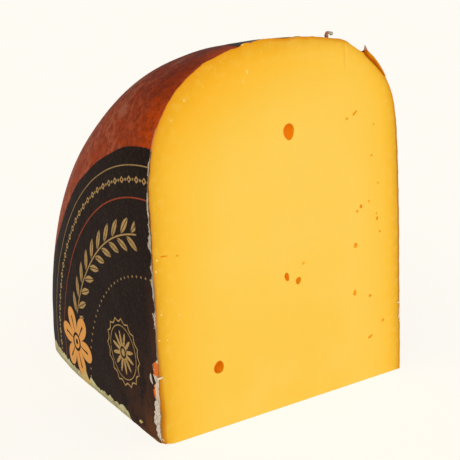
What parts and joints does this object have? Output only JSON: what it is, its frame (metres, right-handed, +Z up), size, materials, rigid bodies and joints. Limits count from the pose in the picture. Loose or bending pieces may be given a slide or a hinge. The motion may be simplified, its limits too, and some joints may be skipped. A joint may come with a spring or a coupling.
{
  "type": "cheese wedge",
  "caption": "Quarter of a brown-coated smoked cheese wheel stood on one cut face, with small eyes in the pale yellow paste and dark printed discs on its flat sides.",
  "frame": {"origin": "centre of the base of the bounding box, on the cut face that the wedge rests on", "axes": "+X along the wheel's axle, from the labelled side on the left to the far side; -Y out of the upright cut face; +Z up, from the bottom cut face"},
  "size_m": [0.1006, 0.1258, 0.1256],
  "materials": {
    "cheese": "moist smooth cut paste, with a thin semi-gloss brown-red smoked coat on the rim and flat sides",
    "label": "near-black printed paper with a soft sheen, torn to its white core along the cuts",
    "band": "dark slate-black paper with a soft sheen"
  },
  "bodies": {
    "root": {"cheese_wedge": "cheese", "label_left": "label", "label_right": "label", "rim_band": "band"}
  },
  "joints": []
}
